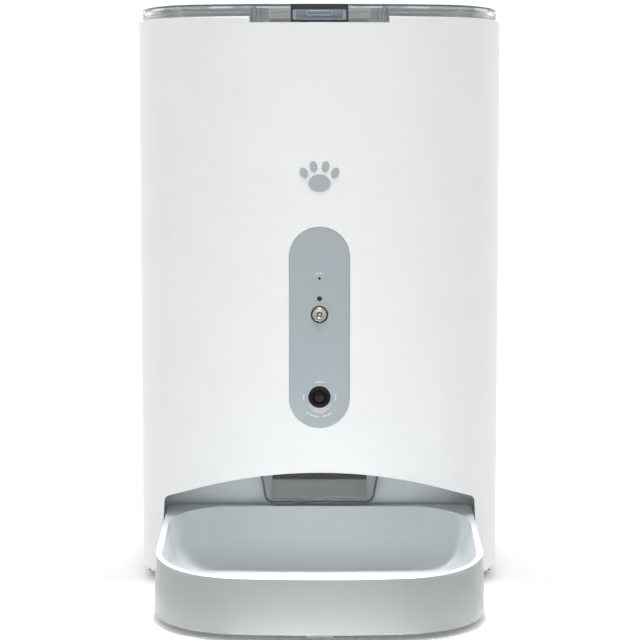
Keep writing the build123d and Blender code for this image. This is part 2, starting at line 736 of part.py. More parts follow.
# ---------------------------------------------------------------- feed deck, rotor and drive shaft
post_places = [(side * post_x, y) for side in (-1, 1) for y in post_ys]
with BuildPart() as feed_deck:
    with BuildSketch(Plane.XY.offset(deck_z)):
        with Locations((0, (deck_front + deck_rear) / 2)):
            RectangleRounded(2 * deck_half, deck_rear - deck_front, 8)
    extrude(amount=deck_plate)
    with BuildSketch(Plane.XY.offset(deck_z)):
        with Locations((0, rotor_y)):
            Circle(chamber_r)
    extrude(amount=chamber_top - deck_z)
    with BuildSketch(Plane.XY.offset(deck_top)):
        with Locations((0, rotor_y)):
            Circle(bore_r)
    extrude(amount=chamber_height + 1, mode=Mode.SUBTRACT)
    with BuildSketch(Plane.XY.offset(deck_z - 1)):
        with Locations((0, rotor_y)):
            Circle(outlet_out_r)
        with Locations((0, rotor_y - (outlet_in_r + outlet_out_r) / 2 - 1)):
            Rectangle(2 * outlet_half, outlet_out_r - outlet_in_r + 2, mode=Mode.INTERSECT)
    extrude(amount=deck_plate + 2, mode=Mode.SUBTRACT)
    rod((0, rotor_y, deck_z - 1), (0, 0, 1), shaft_r + run_gap, 5.0, Mode.SUBTRACT)
    for x, y in post_places:
        rod((x, y, deck_z - 1), (0, 0, 1), screw_r + run_gap, 5.0, Mode.SUBTRACT)
feed_deck.part.label = "feed_deck"
export_step(feed_deck.part, "parts/feed_deck.step")

with BuildPart() as outlet_baffle:
    with BuildSketch(Plane.XY.offset(baffle_low)):
        with Locations((0, rotor_y)):
            Circle(bore_r - 0.1)
        with Locations((0, rotor_y - 16 - bore_r / 2)):
            Rectangle(2 * bore_r, bore_r, mode=Mode.INTERSECT)
    extrude(amount=baffle_plate)
outlet_baffle.part.label = "outlet_baffle"
export_step(outlet_baffle.part, "parts/outlet_baffle.step")

with BuildPart() as portion_rotor:
    rod((0, rotor_y, rotor_low), (0, 0, 1), rotor_hub_r, rotor_high - rotor_low)
    with BuildSketch(Plane.XY.offset(rotor_low)):
        with Locations((0, rotor_y)):
            with PolarLocations(rotor_r / 2 + 5, rotor_vanes, start_angle=30):
                RectangleRounded(rotor_r - 10, vane_plate, vane_plate / 2 - 0.1)
    extrude(amount=rotor_high - rotor_low)
    rod((0, rotor_y, rotor_low - 1), (0, 0, 1), shaft_r + grip_gap, 60.0, Mode.SUBTRACT)
portion_rotor.part.label = "portion_rotor"
export_step(portion_rotor.part, "parts/portion_rotor.step")

agitator_low = rotor_high + 0.1
agitator_high = agitator_low + 20
with BuildPart() as agitator:
    rod((0, rotor_y, agitator_low), (0, 0, 1), 8.0, agitator_high - agitator_low)
    fillet(agitator.edges().group_by(Axis.Z)[-1], 3.0)
    for side in (-1, 1):
        rod((0, rotor_y, agitator_high - 8), (side, 0, 0.12), 2.5, agitator_reach)
    rod((0, rotor_y, agitator_low - 1), (0, 0, 1), shaft_r + grip_gap, 15.0, Mode.SUBTRACT)
agitator.part.label = "agitator"
export_step(agitator.part, "parts/agitator.step")

shaft_low = gearbox_low_z + gearbox_wall + 0.1
with BuildPart() as output_shaft:
    rod((0, rotor_y, shaft_low), (0, 0, 1), shaft_r, agitator_low + 13.9 - shaft_low)
output_shaft.part.label = "output_shaft"
export_step(output_shaft.part, "parts/output_shaft.step")

# ---------------------------------------------------------------- gear train
with BuildPart() as output_gear:
    gear(output_teeth, (0, rotor_y), high_gear_z[0], high_gear_z[1], wheel_angle)
    rod((0, rotor_y, high_gear_z[0] - 1), (0, 0, 1), shaft_r + grip_gap, 12.0, Mode.SUBTRACT)
output_gear.part.label = "output_gear"
export_step(output_gear.part, "parts/output_gear.step")

with BuildPart() as encoder_disc:
    rod((0, rotor_y, encoder_z), (0, 0, 1), 18.0, 1.0)
    with Locations((0, rotor_y, encoder_z)):
        with PolarLocations(14.5, rotor_vanes):
            Cylinder(1.8, 4, mode=Mode.SUBTRACT)
    rod((0, rotor_y, encoder_z - 1), (0, 0, 1), shaft_r + grip_gap, 5.0, Mode.SUBTRACT)
encoder_disc.part.label = "encoder_disc"
export_step(encoder_disc.part, "parts/encoder_disc.step")

sensor_x = -20.0
with BuildPart() as encoder_sensor:
    block((sensor_x - 5, rotor_y - 3, encoder_z - 1.6), (sensor_x + 3, rotor_y + 3, gearbox_top_z - 2.05))
    block(
        (sensor_x - 2, rotor_y - 4, encoder_z - 0.7), (sensor_x + 4, rotor_y + 4, encoder_z + 1.7), Mode.SUBTRACT,
    )
encoder_sensor.part.label = "encoder_sensor"
export_step(encoder_sensor.part, "parts/encoder_sensor.step")

with BuildPart() as compound_gear:
    back = wheel_angle + 180 + 180 / pinion_teeth
    gear(wheel_teeth, (wheel_x, wheel_y), low_gear_z[0], low_gear_z[1], pinion_angle)
    gear(pinion_teeth, (wheel_x, wheel_y), low_gear_z[1] - 0.01, high_gear_z[1], back)
    rod((wheel_x, wheel_y, gearbox_low_z), (0, 0, 1), gear_pin_r + run_gap, 40.0, Mode.SUBTRACT)
compound_gear.part.label = "compound_gear"
export_step(compound_gear.part, "parts/compound_gear.step")

with BuildPart() as compound_pin:
    pin_low = gearbox_low_z + gearbox_wall + 0.05
    rod((wheel_x, wheel_y, pin_low), (0, 0, 1), gear_pin_r, gearbox_top_z - gearbox_wall - 0.05 - pin_low)
compound_pin.part.label = "compound_pin"
export_step(compound_pin.part, "parts/compound_pin.step")

with BuildPart() as motor_pinion:
    back = pinion_angle + 180 + 180 / pinion_teeth
    gear(pinion_teeth, (motor_x, motor_y), low_gear_z[0], low_gear_z[1], back)
    rod((motor_x, motor_y, gearbox_low_z), (0, 0, 1), motor_shaft_r + grip_gap, 40.0, Mode.SUBTRACT)
motor_pinion.part.label = "motor_pinion"
export_step(motor_pinion.part, "parts/motor_pinion.step")

motor_top = gearbox_low_z - 0.1
with BuildPart() as drive_motor:
    rod((motor_x, motor_y, motor_top - motor_length), (0, 0, 1), motor_r, motor_length)
    fillet(drive_motor.edges(), 1.5)
    rod((motor_x, motor_y, motor_top - 4), (0, 0, 1), motor_shaft_r + run_gap, 5.0, Mode.SUBTRACT)
drive_motor.part.label = "drive_motor"
export_step(drive_motor.part, "parts/drive_motor.step")

with BuildPart() as motor_shaft:
    rod(
        (motor_x, motor_y, motor_top - 3.9), (0, 0, 1), motor_shaft_r, low_gear_z[1] + 0.5 - motor_top + 3.9,
    )
motor_shaft.part.label = "motor_shaft"
export_step(motor_shaft.part, "parts/motor_shaft.step")


def gearbox_half(low, high, floor_low):
    """Adds one open half of the gearbox, with its floor or roof at `floor_low`."""
    middle = (sum(gearbox_x) / 2, sum(gearbox_y) / 2)
    size = (gearbox_x[1] - gearbox_x[0], gearbox_y[1] - gearbox_y[0])
    with BuildSketch(Plane.XY.offset(low)) as ring:
        with Locations(middle):
            RectangleRounded(size[0], size[1], 12)
            inner_size = (size[0] - 2 * gearbox_wall, size[1] - 2 * gearbox_wall)
            RectangleRounded(*inner_size, 12 - gearbox_wall, mode=Mode.SUBTRACT)
    extrude(ring.sketch, amount=high - low)
    with BuildSketch(Plane.XY.offset(floor_low)) as floor:
        with Locations(middle):
            RectangleRounded(size[0], size[1], 12)
    extrude(floor.sketch, amount=gearbox_wall)


with BuildPart() as gearbox_lower:
    gearbox_half(gearbox_low_z, gearbox_split_z, gearbox_low_z)
    rod((motor_x, motor_y, gearbox_low_z - 1), (0, 0, 1), 3.5, 5.0, Mode.SUBTRACT)
gearbox_lower.part.label = "gearbox_lower"
export_step(gearbox_lower.part, "parts/gearbox_lower.step")

with BuildPart() as gearbox_upper:
    gearbox_half(gearbox_split_z + 0.1, gearbox_top_z, gearbox_top_z - gearbox_wall)
    rod((0, rotor_y, encoder_z), (0, 0, 1), shaft_r + run_gap, 20.0, Mode.SUBTRACT)
gearbox_upper.part.label = "gearbox_upper"
export_step(gearbox_upper.part, "parts/gearbox_upper.step")

# ---------------------------------------------------------------- base plate and battery
battery_y_end = battery_y + battery_length
slot_half = battery_half - 1.0
door_y = (battery_y - 1.0, battery_y_end + 1.0)
foot_places = [
    (side * (half - foot_side_room), y) for side in (-1, 1) for y in (bay_rear_y + 22, rear_y - 16)
]
with BuildPart() as base_plate:
    extrude(body_plan(base_low_z, base_inset), amount=base_plate_t)
    block((-half, front_y - 1, 0), (half, bay_rear_y + 1, 20), Mode.SUBTRACT)
    for x, y in post_places:
        rod((x, y, base_top - 0.1), (0, 0, 1), post_r, deck_z - 0.1 - base_top + 0.1)
        rod((x, y, deck_z - 12), (0, 0, 1), screw_r + 0.02, 14.0, Mode.SUBTRACT)
    # Battery opening, and the grooves that the door slides in.
    block((-slot_half + 4, battery_y + 3, 0), (slot_half - 4, battery_y_end - 3, 20), Mode.SUBTRACT)
    block(
        (-slot_half - 0.3, door_y[0] - 0.3, 0), (slot_half + 0.3, rear_y, base_low_z + 2.8), Mode.SUBTRACT,
    )
    block(
        (-slot_half - door_tongue - 0.3, door_y[0] - 0.3, base_low_z + 1.0),
        (slot_half + door_tongue + 0.3, rear_y, base_low_z + 2.8),
        Mode.SUBTRACT,
    )
base_plate.part.label = "base_plate"
export_step(base_plate.part, "parts/base_plate.step")

with BuildPart() as battery_door:
    block((-slot_half, door_y[0], base_low_z + 0.4), (slot_half, door_y[1], base_low_z + 0.4 + door_t))
    block(
        (-slot_half - door_tongue, door_y[0], base_low_z + 1.3),
        (slot_half + door_tongue, door_y[1], base_low_z + 0.4 + door_t),
    )
    for number in range(4):
        y = door_y[1] - 8 - 4 * number
        block((-14, y, 0), (14, y + 1.5, base_low_z + 1.2), Mode.SUBTRACT)
battery_door.part.label = "battery_door"
export_step(battery_door.part, "parts/battery_door.step")

with BuildPart() as battery_box:
    block((-battery_half, battery_y, base_top + 0.05), (battery_half, battery_y_end, battery_top))
    block(
        (-battery_half + battery_wall, battery_y + battery_wall, 0),
        (battery_half - battery_wall, battery_y_end - battery_wall, battery_top - battery_wall),
        Mode.SUBTRACT,
    )
battery_box.part.label = "battery_box"
export_step(battery_box.part, "parts/battery_box.step")

cell_places = [-cell_pitch, 0.0, cell_pitch]
cell_front = (battery_y + battery_y_end - cell_length) / 2
with BuildPart() as battery_cells:
    for x in cell_places:
        rod((x, cell_front + 1.5, cell_z), (0, 1, 0), cell_r, cell_length - 1.5)
        rod((x, cell_front, cell_z), (0, 1, 0), 4.5, 3.0)
battery_cells.part.label = "battery_cells"
export_step(battery_cells.part, "parts/battery_cells.step")

with BuildPart() as battery_contacts:
    for x in cell_places:
        block(
            (x - 8, battery_y + battery_wall, cell_z - 8), (x + 8, battery_y + battery_wall + 0.5, cell_z + 8),
        )
        rear_face = battery_y_end - battery_wall
        block((x - 8, rear_face - 0.5, cell_z - 8), (x + 8, rear_face, cell_z + 8))
battery_contacts.part.label = "battery_contacts"
export_step(battery_contacts.part, "parts/battery_contacts.step")

with BuildPart() as body_feet:
    for x, y in foot_places:
        rod((x, y, 0), (0, 0, 1), foot_r, base_low_z - 0.02)
    fillet(body_feet.edges().group_by(Axis.Z)[0], 0.8)
body_feet.part.label = "body_feet"
export_step(body_feet.part, "parts/body_feet.step")

# ---------------------------------------------------------------- service panel and electronics
panel_in = rear_y - 1.3
with BuildPart() as service_panel:
    edge = service_half - seat_gap
    block((-edge, panel_in, service_low_z + seat_gap), (edge, rear_y - 0.1, service_high_z - seat_gap))
    pad = service_half - service_ledge - seat_gap
    pad_z = (service_low_z + service_ledge + seat_gap, service_high_z - service_ledge - seat_gap)
    block((-pad, rear_y - 3.0, pad_z[0]), (pad, panel_in + 0.1, pad_z[1]))
    with BuildSketch(facing(rear_y + 1)):
        with Locations(speaker_at):
            with GridLocations(5, 0, 7, 1):
                SlotOverall(26, 2, rotation=90)
    extrude(amount=6, mode=Mode.SUBTRACT)
    rod((inlet_at[0], rear_y + 1, inlet_at[1]), (0, -1, 0), 4.5, 6.0, Mode.SUBTRACT)
    for x, z in service_screws:
        rod((x, rear_y + 1, z), (0, -1, 0), screw_r + 0.1, 6.0, Mode.SUBTRACT)
        rod((x, rear_y - 0.1, z), (0, -1, 0), screw_head_r + 0.2, screw_seat, Mode.SUBTRACT)
service_panel.part.label = "service_panel"
export_step(service_panel.part, "parts/service_panel.step")

speaker_face = rear_y - 3.1
with BuildPart() as speaker:
    rod((speaker_at[0], speaker_face, speaker_at[1]), (0, -1, 0), speaker_r, 3.0)
    rod((speaker_at[0], speaker_face - 2.9, speaker_at[1]), (0, -1, 0), 12.0, 6.0)
    rod((speaker_at[0], speaker_face + 1, speaker_at[1]), (0, -1, 0), speaker_r - 2.5, 2.5, Mode.SUBTRACT)
speaker.part.label = "speaker"
export_step(speaker.part, "parts/speaker.step")

with BuildPart() as power_inlet:
    rod((inlet_at[0], rear_y - 0.3, inlet_at[1]), (0, -1, 0), 4.4, 3.0)
    block(
        (inlet_at[0] - 5.5, rear_y - 16, inlet_at[1] - 5.5),
        (inlet_at[0] + 5.5, speaker_face, inlet_at[1] + 5.5),
    )
    rod((inlet_at[0], rear_y, inlet_at[1]), (0, -1, 0), inlet_bore_r, 11.0, Mode.SUBTRACT)
    rod((inlet_at[0], rear_y - 2, inlet_at[1]), (0, -1, 0), 1.0, 10.0)
power_inlet.part.label = "power_inlet"
export_step(power_inlet.part, "parts/power_inlet.step")

board_x = -half + main_board_side_room
board_y_span = (bay_rear_y + 30, rear_y - 30)
with BuildPart() as main_board:
    block((board_x, board_y_span[0], 14), (board_x + board_t, board_y_span[1], 84))
    for y, z, tall in ((12, 58, 2.2), (40, 60, 1.4), (20, 30, 3.0), (48, 26, 5.0)):
        block(
            (board_x + board_t, board_y_span[0] + y, z),
            (board_x + board_t + tall, board_y_span[0] + y + 12, z + 12),
        )
main_board.part.label = "main_board"
export_step(main_board.part, "parts/main_board.step")

with BuildPart() as cover_screws:
    for x, z in service_screws:
        rod((x, rear_y - 0.3, z), (0, -1, 0), screw_r, 9.0)
        rod((x, rear_y - 0.12, z), (0, -1, 0), screw_head_r, screw_seat - 0.04)
    for x, y in post_places:
        rod((x, y, deck_z - 9), (0, 0, 1), screw_r, 9 + deck_plate + 0.05)
        rod((x, y, deck_top + 0.02), (0, 0, 1), screw_head_r, screw_head_t)
cover_screws.part.label = "cover_screws"
export_step(cover_screws.part, "parts/cover_screws.step")

# ---------------------------------------------------------------- wires
def wire(points, bend_r):
    """Adds an insulated wire along straight runs joined by bends."""
    with BuildLine() as path:
        FilletPolyline(*points, radius=bend_r)
    with BuildSketch(Plane(origin=path.line @ 0, z_dir=path.line % 0)) as section:
        Circle(wire_r)
    sweep(section.sketch, path=path.line)


board_face = board_x + board_t + 0.1
motor_side = motor_x - motor_r - 0.2
inlet_wire_x = inlet_at[0] - 3
inlet_wire_y = rear_y - 32
with BuildPart() as wires:
    wire(
        [
            (board_face, motor_y, 50), (board_face + 25, motor_y, 50),
            (motor_side - 25, motor_y, 42), (motor_side, motor_y, 42),
        ],
        wire_bend_r,
    )
    wire(
        [
            (board_face, inlet_wire_y, 70), (board_face + 20, inlet_wire_y, 70),
            (inlet_wire_x, inlet_wire_y, inlet_at[1]), (inlet_wire_x, rear_y - 16.2, inlet_at[1]),
        ],
        wire_bend_r,
    )
wires.part.label = "wires"
export_step(wires.part, "parts/wires.step")

# ---------------------------------------------------------------- bowl
def basin(grow):
    """The basin's cavity, or with `grow` the outside of its wall."""
    top_z = 56.0
    low_z = basin_floor_z - grow
    spread = (top_z - bowl_front_z) * math.tan(math.radians(basin_taper))
    side = bowl_half - bowl_rim + 0.5 + grow
    nose = bowl_front_y + bowl_rim + 0.6 - spread - grow
    back = bay_back_y - 1.5 - basin_rear_land + 1.2 + grow
    face = plan(side, nose, back, bowl_bow, bowl_front_r - 4, basin_rear_r, top_z, toe_in=1.0)
    with BuildPart() as hollow:
        extrude(face, amount=low_z - top_z, taper=basin_taper)
        fillet(hollow.edges().group_by(Axis.Z)[0], basin_round + grow)
    return hollow.part


def above_rim(drop):
    """Cuts away all that lies above the sloped rim plane, lowered by `drop`."""
    near, far = bowl_front_y - 20, rear_y
    with BuildSketch(Plane(origin=(0, 0, 0), x_dir=(0, 1, 0), z_dir=(1, 0, 0))) as wedge:
        with BuildLine():
            Polyline(
                (near, bowl_front_z - 20 * bowl_slope - drop),
                (far, bowl_front_z + (far - bowl_front_y) * bowl_slope - drop),
                (far, height), (near, height), close=True,
            )
        make_face()
    extrude(wedge.sketch, amount=half, both=True, mode=Mode.SUBTRACT)


def bowl_plan(inset):
    """The bowl's outline where it is widest, at its lower edge."""
    back = bay_back_y - 1.5
    return plan(
        bowl_half, bowl_front_y, back, bowl_bow, bowl_front_r, bowl_rear_r, bowl_lift, inset, bowl_toe_in
    )


def underside():
    """The room under the rim, between the skirt and the basin."""
    with BuildPart() as room:
        extrude(bowl_plan(bowl_wall), amount=60, taper=bowl_taper)
        above_rim(bowl_wall)
    return room.part


def basin_wall():
    """The outside of the basin, up to the rim plane."""
    with BuildPart() as outside:
        add(basin(bowl_wall))
        above_rim(0)
    return outside.part


with BuildPart() as bowl:
    extrude(bowl_plan(0), amount=60, taper=bowl_taper)
    fillet(bowl.edges().group_by(Axis.Z)[0], 1.2)
    above_rim(0)
    add(underside(), mode=Mode.SUBTRACT)
    add(basin_wall())
    add(basin(0), mode=Mode.SUBTRACT)
bowl.part.label = "bowl"
export_step(bowl.part, "parts/bowl.step")

with BuildPart() as bowl_feet:
    with BuildSketch(Plane.XY) as foot_face:
        with Locations((0, bowl_front_y + 8)):
            Trapezoid(16, 7, 80)
    extrude(foot_face.sketch, amount=basin_floor_z - bowl_wall - 0.05)
    for x in (-bowl_half / 2, bowl_half / 2):
        rod((x, bay_back_y - 46, 0), (0, 0, 1), 6.0, basin_floor_z - bowl_wall - 0.05)
bowl_feet.part.label = "bowl_feet"
export_step(bowl_feet.part, "parts/bowl_feet.step")
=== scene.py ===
import json
import math

import bmesh
import bpy
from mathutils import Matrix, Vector


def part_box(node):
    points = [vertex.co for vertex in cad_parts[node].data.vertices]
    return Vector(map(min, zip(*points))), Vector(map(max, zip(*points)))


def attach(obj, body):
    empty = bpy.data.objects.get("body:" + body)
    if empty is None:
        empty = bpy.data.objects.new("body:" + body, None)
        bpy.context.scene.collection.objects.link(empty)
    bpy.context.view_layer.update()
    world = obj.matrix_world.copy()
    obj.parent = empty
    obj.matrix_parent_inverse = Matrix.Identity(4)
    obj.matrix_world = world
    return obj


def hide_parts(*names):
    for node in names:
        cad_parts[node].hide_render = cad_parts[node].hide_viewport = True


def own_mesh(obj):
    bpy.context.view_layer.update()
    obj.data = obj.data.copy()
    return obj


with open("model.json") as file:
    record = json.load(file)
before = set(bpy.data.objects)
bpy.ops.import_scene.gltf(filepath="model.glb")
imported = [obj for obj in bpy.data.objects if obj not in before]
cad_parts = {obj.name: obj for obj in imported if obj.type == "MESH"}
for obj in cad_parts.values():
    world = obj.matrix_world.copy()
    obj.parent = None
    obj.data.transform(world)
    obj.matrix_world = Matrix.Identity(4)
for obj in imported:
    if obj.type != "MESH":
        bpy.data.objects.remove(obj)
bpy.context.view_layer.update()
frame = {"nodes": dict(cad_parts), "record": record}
MM = 0.001

# ------------------------------------------------------------------ places read from the frame
shell_low, shell_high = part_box("outer_shell")
FRONT_Y = shell_low[1]
REAR_Y = shell_high[1]
HALF = shell_high[0]
FRONT_BOW = 15 * MM
BOW_R = (HALF**2 + FRONT_BOW**2) / (2 * FRONT_BOW)

# sizes copied from the part's source and its record
CORNER_R = 50 * MM  # the body's front corners, in plan
PANEL_SINK = 0.1 * MM  # control panel's face behind the shell's
FLAP_LOW_HALF = 36.5 * MM  # half the flap's width at its foot
FLAP_BARREL_R = 2 * MM  # flap's axis to its top
LATCH_HALF = 18.3 * MM  # half the latch's width


def middle(node):
    """The centre of a node's box."""
    low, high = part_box(node)
    return Vector([(a + b) / 2 for a, b in zip(low, high)])


def front_at(x):
    """Depth of the bowed front face at x."""
    return FRONT_Y + BOW_R - math.sqrt(BOW_R**2 - x**2)


# ------------------------------------------------------------------ camera, lights and floor
CAMERA_AT = (0.0, -1.1434, 0.277)
CAMERA_DOWN = math.radians(5.09)
CAMERA_LENS = 97.16  # millimetres, like the sensor
CAMERA_SENSOR = 36
CAMERA_SHIFT = 0.0008  # share of the picture's width
CAMERA_NEAR = 10 * MM

WORLD_AHEAD = 0.38  # strength at the horizon, in front of the feeder
WORLD_BEHIND = 0.70  # added behind the feeder
WORLD_TOP = 0.92  # strength overhead
BEHIND_FULL = 0.75  # the direction's share of +Y and of +Z where each fade is full
TOP_FULL = 0.9

BOWL_LIGHT_SPREAD = 20  # degrees
STRIP_PLACE = (1.2, -0.75, 0.45)  # a softbox each side, at + and - x
STRIP_TARGET = (0, 0, 0.12)
STRIP_SIZE = (0.16, 0.9)
STRIP_POWERS = (("left", -1, 1.0), ("right", 1, 0.7))
FLOOR_HALF = 6.0
FLOOR_GLOW = 0.12


def add_camera():
    """The camera the photo was matched with: level across, tipped a little down."""
    data = bpy.data.cameras.new("camera")
    data.lens = CAMERA_LENS
    data.sensor_width = CAMERA_SENSOR
    data.shift_x = CAMERA_SHIFT
    data.clip_start = CAMERA_NEAR
    camera = bpy.data.objects.new("camera", data)
    camera.location = CAMERA_AT
    camera.rotation_euler = (math.pi / 2 - CAMERA_DOWN, 0, 0)
    bpy.context.collection.objects.link(camera)
    bpy.context.scene.camera = camera


def add_softbox(name, place, target, size, power, spread=180):
    """A rectangular light at `place`, turned to face `target`; its spread is in degrees."""
    data = bpy.data.lights.new(name, "AREA")
    data.shape = "RECTANGLE"
    data.size, data.size_y = size
    data.energy = power
    data.spread = math.radians(spread)
    light = bpy.data.objects.new(name, data)
    light.location = place
    aim = Vector(target) - Vector(place)
    light.rotation_euler = aim.to_track_quat("-Z", "Y").to_euler()
    bpy.context.collection.objects.link(light)


def add_world():
    """A bright studio: white overhead and behind the feeder, dimmer in front of it."""
    world = bpy.data.worlds.new("studio")
    bpy.context.scene.world = world
    world.use_nodes = True
    nodes, links = world.node_tree.nodes, world.node_tree.links
    background = nodes["Background"]
    background.inputs["Color"].default_value = (1.0, 1.0, 1.0, 1)
    place = nodes.new("ShaderNodeTexCoord")
    split = nodes.new("ShaderNodeSeparateXYZ")
    links.new(place.outputs["Generated"], split.inputs["Vector"])
    total = nodes.new("ShaderNodeMath")
    total.operation = "ADD"
    for slot, axis, low, high, first, last in (
        (0, "Y", 0.0, BEHIND_FULL, 0.0, WORLD_BEHIND),
        (1, "Z", 0.0, TOP_FULL, WORLD_AHEAD, WORLD_TOP),
    ):
        fade = nodes.new("ShaderNodeMapRange")
        fade.inputs["From Min"].default_value = low
        fade.inputs["From Max"].default_value = high
        fade.inputs["To Min"].default_value = first
        fade.inputs["To Max"].default_value = last
        links.new(split.outputs[axis], fade.inputs["Value"])
        links.new(fade.outputs["Result"], total.inputs[slot])
    links.new(total.outputs["Value"], background.inputs["Strength"])


def add_lights():
    """A narrow light over the basin, a strip each side and a broad one behind."""
    add_softbox("bowl_light", place=(0, -0.085, 0.80), target=(0, -0.120, 0.02), size=(0.14, 0.05),
                power=0.36, spread=BOWL_LIGHT_SPREAD)
    across, ahead, up = STRIP_PLACE
    for name, side, power in STRIP_POWERS:
        add_softbox(name, (side * across, ahead, up), STRIP_TARGET, STRIP_SIZE, power)
    add_softbox("behind", place=(0.2, 1.3, 0.9), target=(0, 0, 0.2), size=(1.2, 0.8), power=0.5)


def add_floor():
    """White paper under the feeder, glowing faintly so that it stays white in the picture."""
    mesh = bpy.data.meshes.new("floor")
    ends = (-FLOOR_HALF, FLOOR_HALF)
    corners = [(x, ends[0], 0) for x in ends] + [(x, ends[1], 0) for x in reversed(ends)]
    mesh.from_pydata(corners, [], [(0, 1, 2, 3)])
    floor = bpy.data.objects.new("floor", mesh)
    bpy.context.collection.objects.link(floor)
    paper = surface("floor_paper", (0.95, 0.95, 0.95), rough=0.8, mottle=0.004,
                    Emission_Color=(1, 1, 1, 1), Emission_Strength=FLOOR_GLOW)
    floor.data.materials.append(paper)


def add_studio():
    """The world, the lights and the floor."""
    add_world()
    add_lights()
    add_floor()


# ------------------------------------------------------------------ materials
MOTTLE_RAMP = (0.3, 0.7)  # noise values of the mottle's dark and pale ends
GRAIN_DEPTH = 0.04 * MM
TURNING_DEPTH = 0.03 * MM
TURNING_STRENGTH = 0.25
GLOSS_FLOOR = 0.02  # roughness never goes below this
SKIRT_SHADE_FACING = (0.15, 0.75)  # how far a face looks outwards, from basin to skirt, where the skirt's painted shade fades in
# the skirt's painted shade: a darker grey on faces that look outwards
SKIRT_PAINTED_SHADE = (0.335, 0.36, 0.355, 1)
THROAT_SHADOW_RISE = 12.8 * MM  # chute's lowest edge to the start of the painted shadow in its throat
THROAT_SHADOW_FADE = 0.7 * MM
# near-black painted shadow over the chute's throat
THROAT_PAINTED_SHADOW = (0.003, 0.003, 0.003, 1)
VECTOR_STEP = "ShaderNodeVectorMath"
NUMBER_STEP = "ShaderNodeMath"


def surface(name, colour, rough=0.45, mottle=0.012, mottle_size=0.03, grain=0.0, grain_size=0.0006,
            rough_range=0.06, **shader_values):
    """A moulded or metal surface: faint colour mottle, uneven gloss and a fine grain."""
    material = bpy.data.materials.new(name)
    material.use_nodes = True
    nodes, links = material.node_tree.nodes, material.node_tree.links
    shader = nodes["Principled BSDF"]
    place = nodes.new("ShaderNodeTexCoord")
    cloud = nodes.new("ShaderNodeTexNoise")
    cloud.inputs["Scale"].default_value = 1 / mottle_size
    cloud.inputs["Detail"].default_value = 4
    links.new(place.outputs["Object"], cloud.inputs["Vector"])
    ramp = nodes.new("ShaderNodeValToRGB")
    shades = [c * (1 - mottle) for c in colour], [min(1, c * (1 + mottle)) for c in colour]
    for stop, position, shade in zip(ramp.color_ramp.elements, MOTTLE_RAMP, shades):
        stop.position = position
        stop.color = (*shade, 1)
    links.new(cloud.outputs["Fac"], ramp.inputs["Fac"])
    links.new(ramp.outputs["Color"], shader.inputs["Base Color"])
    gloss = nodes.new("ShaderNodeMapRange")
    gloss.inputs["To Min"].default_value = max(GLOSS_FLOOR, rough - rough_range)
    gloss.inputs["To Max"].default_value = rough + rough_range
    links.new(cloud.outputs["Fac"], gloss.inputs["Value"])
    links.new(gloss.outputs["Result"], shader.inputs["Roughness"])
    if grain:
        fine = nodes.new("ShaderNodeTexNoise")
        fine.inputs["Scale"].default_value = 1 / grain_size
        fine.inputs["Detail"].default_value = 2
        links.new(place.outputs["Object"], fine.inputs["Vector"])
        bump = nodes.new("ShaderNodeBump")
        bump.inputs["Strength"].default_value = grain
        bump.inputs["Distance"].default_value = GRAIN_DEPTH
        links.new(fine.outputs["Fac"], bump.inputs["Height"])
        links.new(bump.outputs["Normal"], shader.inputs["Normal"])
    for socket, value in shader_values.items():
        shader.inputs[socket.replace("_", " ")].default_value = value
    return material


def add_step(material, kind, operation, first, second=None):
    """A maths node on socket `first` and, where given, socket or value `second`."""
    step = material.node_tree.nodes.new(kind)
    step.operation = operation
    material.node_tree.links.new(first, step.inputs[0])
    if isinstance(second, bpy.types.NodeSocket):
        material.node_tree.links.new(second, step.inputs[1])
    elif second is not None:
        step.inputs[1].default_value = second
    return step.outputs


def offset_from(material, node, keep):
    """Each point's offset from a node's centre, kept only along the axes that are 1 in `keep`."""
    place = material.node_tree.nodes.new("ShaderNodeTexCoord")
    offset = add_step(material, VECTOR_STEP, "SUBTRACT", place.outputs["Object"], middle(node))["Vector"]
    return add_step(material, VECTOR_STEP, "MULTIPLY", offset, keep)["Vector"]


def turned_metal(name, colour, node, rings=2600):
    """Metal with fine turning marks, so many a metre, about a node's front-to-back axis."""
    material = surface(name, colour, rough=0.28, mottle=0.03, mottle_size=0.004, Metallic=1.0)
    nodes, links = material.node_tree.nodes, material.node_tree.links
    from_axis = offset_from(material, node, keep=(1, 0, 1))
    radius = add_step(material, VECTOR_STEP, "LENGTH", from_axis)["Value"]
    turns = add_step(material, NUMBER_STEP, "MULTIPLY", radius, rings * 2 * math.pi)["Value"]
    wave = add_step(material, NUMBER_STEP, "SINE", turns)["Value"]
    bump = nodes.new("ShaderNodeBump")
    bump.inputs["Strength"].default_value = TURNING_STRENGTH
    bump.inputs["Distance"].default_value = TURNING_DEPTH
    links.new(wave, bump.inputs["Height"])
    links.new(bump.outputs["Normal"], nodes["Principled BSDF"].inputs["Normal"])
    return material


def fade_to(material, value, first, last, colour):
    """Fades a material's colour to `colour` as the socket `value` goes from `first` to `last`."""
    nodes, links = material.node_tree.nodes, material.node_tree.links
    base = nodes["Principled BSDF"].inputs["Base Color"]
    own = base.links[0].from_socket
    share = nodes.new("ShaderNodeMapRange")
    share.inputs["From Min"].default_value = first
    share.inputs["From Max"].default_value = last
    links.new(value, share.inputs["Value"])
    mix = nodes.new("ShaderNodeMix")
    mix.data_type = "RGBA"
    colours = [socket for socket in mix.inputs if socket.type == "RGBA"]
    mixed = next(socket for socket in mix.outputs if socket.type == "RGBA")
    links.new(share.outputs["Result"], mix.inputs[0])
    links.new(own, colours[0])
    colours[1].default_value = colour
    links.new(mixed, base)


